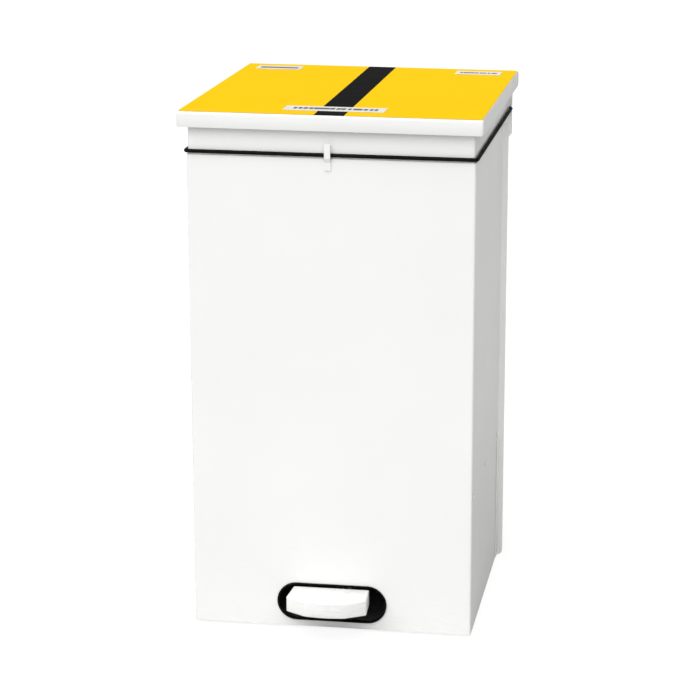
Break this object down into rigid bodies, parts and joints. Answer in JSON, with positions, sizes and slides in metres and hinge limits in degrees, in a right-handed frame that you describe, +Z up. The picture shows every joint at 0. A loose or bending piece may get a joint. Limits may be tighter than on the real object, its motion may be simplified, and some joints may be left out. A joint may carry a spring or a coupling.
{
  "type": "pedal bin",
  "caption": "Free-standing hospital pedal bin: hinged flat lid, sack collar with rubber band, pedal and push rod, and a body shell that slides off forwards.",
  "frame": {"origin": "on the floor, in the middle of the bin's whole plan including the pedal", "axes": "+X to the right as seen from the front, +Y to the back (the hinge side), +Z up; the pedal is at -Y"},
  "size_m": [0.39, 0.482, 0.6912],
  "materials": {
    "white_painted_steel": "smooth semi-gloss white powder coat",
    "zinc_plated_steel": "bright zinc plate, slightly dull",
    "black_rubber": "matt black rubber",
    "nylon": "natural nylon",
    "yellow_film": "printed yellow vinyl film, satin",
    "black_film": "printed black vinyl film, satin",
    "white_label": "blank white label film"
  },
  "bodies": {
    "frame": {"base_tray": "zinc_plated_steel", "foot_front_left": "black_rubber", "foot_front_right": "black_rubber", "foot_rear_left": "black_rubber", "foot_rear_right": "black_rubber", "sack_platform": "zinc_plated_steel", "back_panel": "white_painted_steel", "inner_panel": "white_painted_steel", "side_rail_left": "zinc_plated_steel", "side_rail_right": "zinc_plated_steel", "collar": "white_painted_steel", "collar_rear_wall": "white_painted_steel", "sack_band": "black_rubber", "lid_buffer_left": "black_rubber", "lid_buffer_right": "black_rubber", "hinge_bracket_left": "zinc_plated_steel", "hinge_bracket_right": "zinc_plated_steel", "hinge_rod": "zinc_plated_steel", "pedal_bracket": "zinc_plated_steel", "pedal_axle": "zinc_plated_steel", "bracket_bolt_front": "zinc_plated_steel", "bracket_bolt_rear": "zinc_plated_steel", "rod_guide_lower": "nylon", "rod_guide_upper": "nylon"},
    "lid": {"lid_shell": "white_painted_steel", "lid_stiffener": "white_painted_steel", "lid_lug_left": "zinc_plated_steel", "lid_lug_right": "zinc_plated_steel", "lid_crank": "zinc_plated_steel", "crank_pin": "zinc_plated_steel", "film_yellow_left": "yellow_film", "film_yellow_right": "yellow_film", "film_black_stripe": "black_film", "label_front": "white_label", "label_rear_left": "white_label", "label_rear_right": "white_label"},
    "pedal": {"pedal_arm": "zinc_plated_steel", "pedal_bush": "nylon", "pedal_plate": "zinc_plated_steel", "pedal_pad": "white_painted_steel", "arm_pin": "zinc_plated_steel"},
    "push_rod": {"push_rod": "zinc_plated_steel", "rod_fork_upper": "zinc_plated_steel", "rod_fork_lower": "zinc_plated_steel", "lock_nut_lower": "zinc_plated_steel", "lock_nut_upper": "zinc_plated_steel"},
    "removable_body": {"body_shell": "white_painted_steel", "aperture_edging": "black_rubber", "band_keeper": "white_painted_steel", "runner_left": "zinc_plated_steel", "rear_doubler_left": "white_painted_steel", "body_rivet_left_1": "white_painted_steel", "body_rivet_left_2": "white_painted_steel", "body_rivet_left_3": "white_painted_steel", "runner_right": "zinc_plated_steel", "rear_doubler_right": "white_painted_steel", "body_rivet_right_1": "white_painted_steel", "body_rivet_right_2": "white_painted_steel", "body_rivet_right_3": "white_painted_steel"}
  },
  "joints": [
    {"name": "lid_hinge", "type": "hinge", "parent": "frame", "child": "lid", "pos_m": [0, 0.233, 0.674], "axis": [-1, 0, 0], "range_deg": [0, 75]},
    {"name": "pedal_pivot", "type": "hinge", "parent": "frame", "child": "pedal", "pos_m": [0, -0.086, 0.0424], "axis": [1, 0, 0], "range_deg": [0, 8.3]},
    {"name": "rod_slide", "type": "slide", "parent": "frame", "child": "push_rod", "axis": [0, 0, 1], "range_m": [0, 0.0417]},
    {"name": "body_slide", "type": "slide", "parent": "frame", "child": "removable_body", "axis": [0, -1, 0], "range_m": [0, 0.33]}
  ],
  "couplings": [
    {"joint": "rod_slide", "follows": "lid_hinge", "m_per_rad": 0.031624},
    {"joint": "pedal_pivot", "follows": "lid_hinge", "ratio": 0.1097}
  ]
}
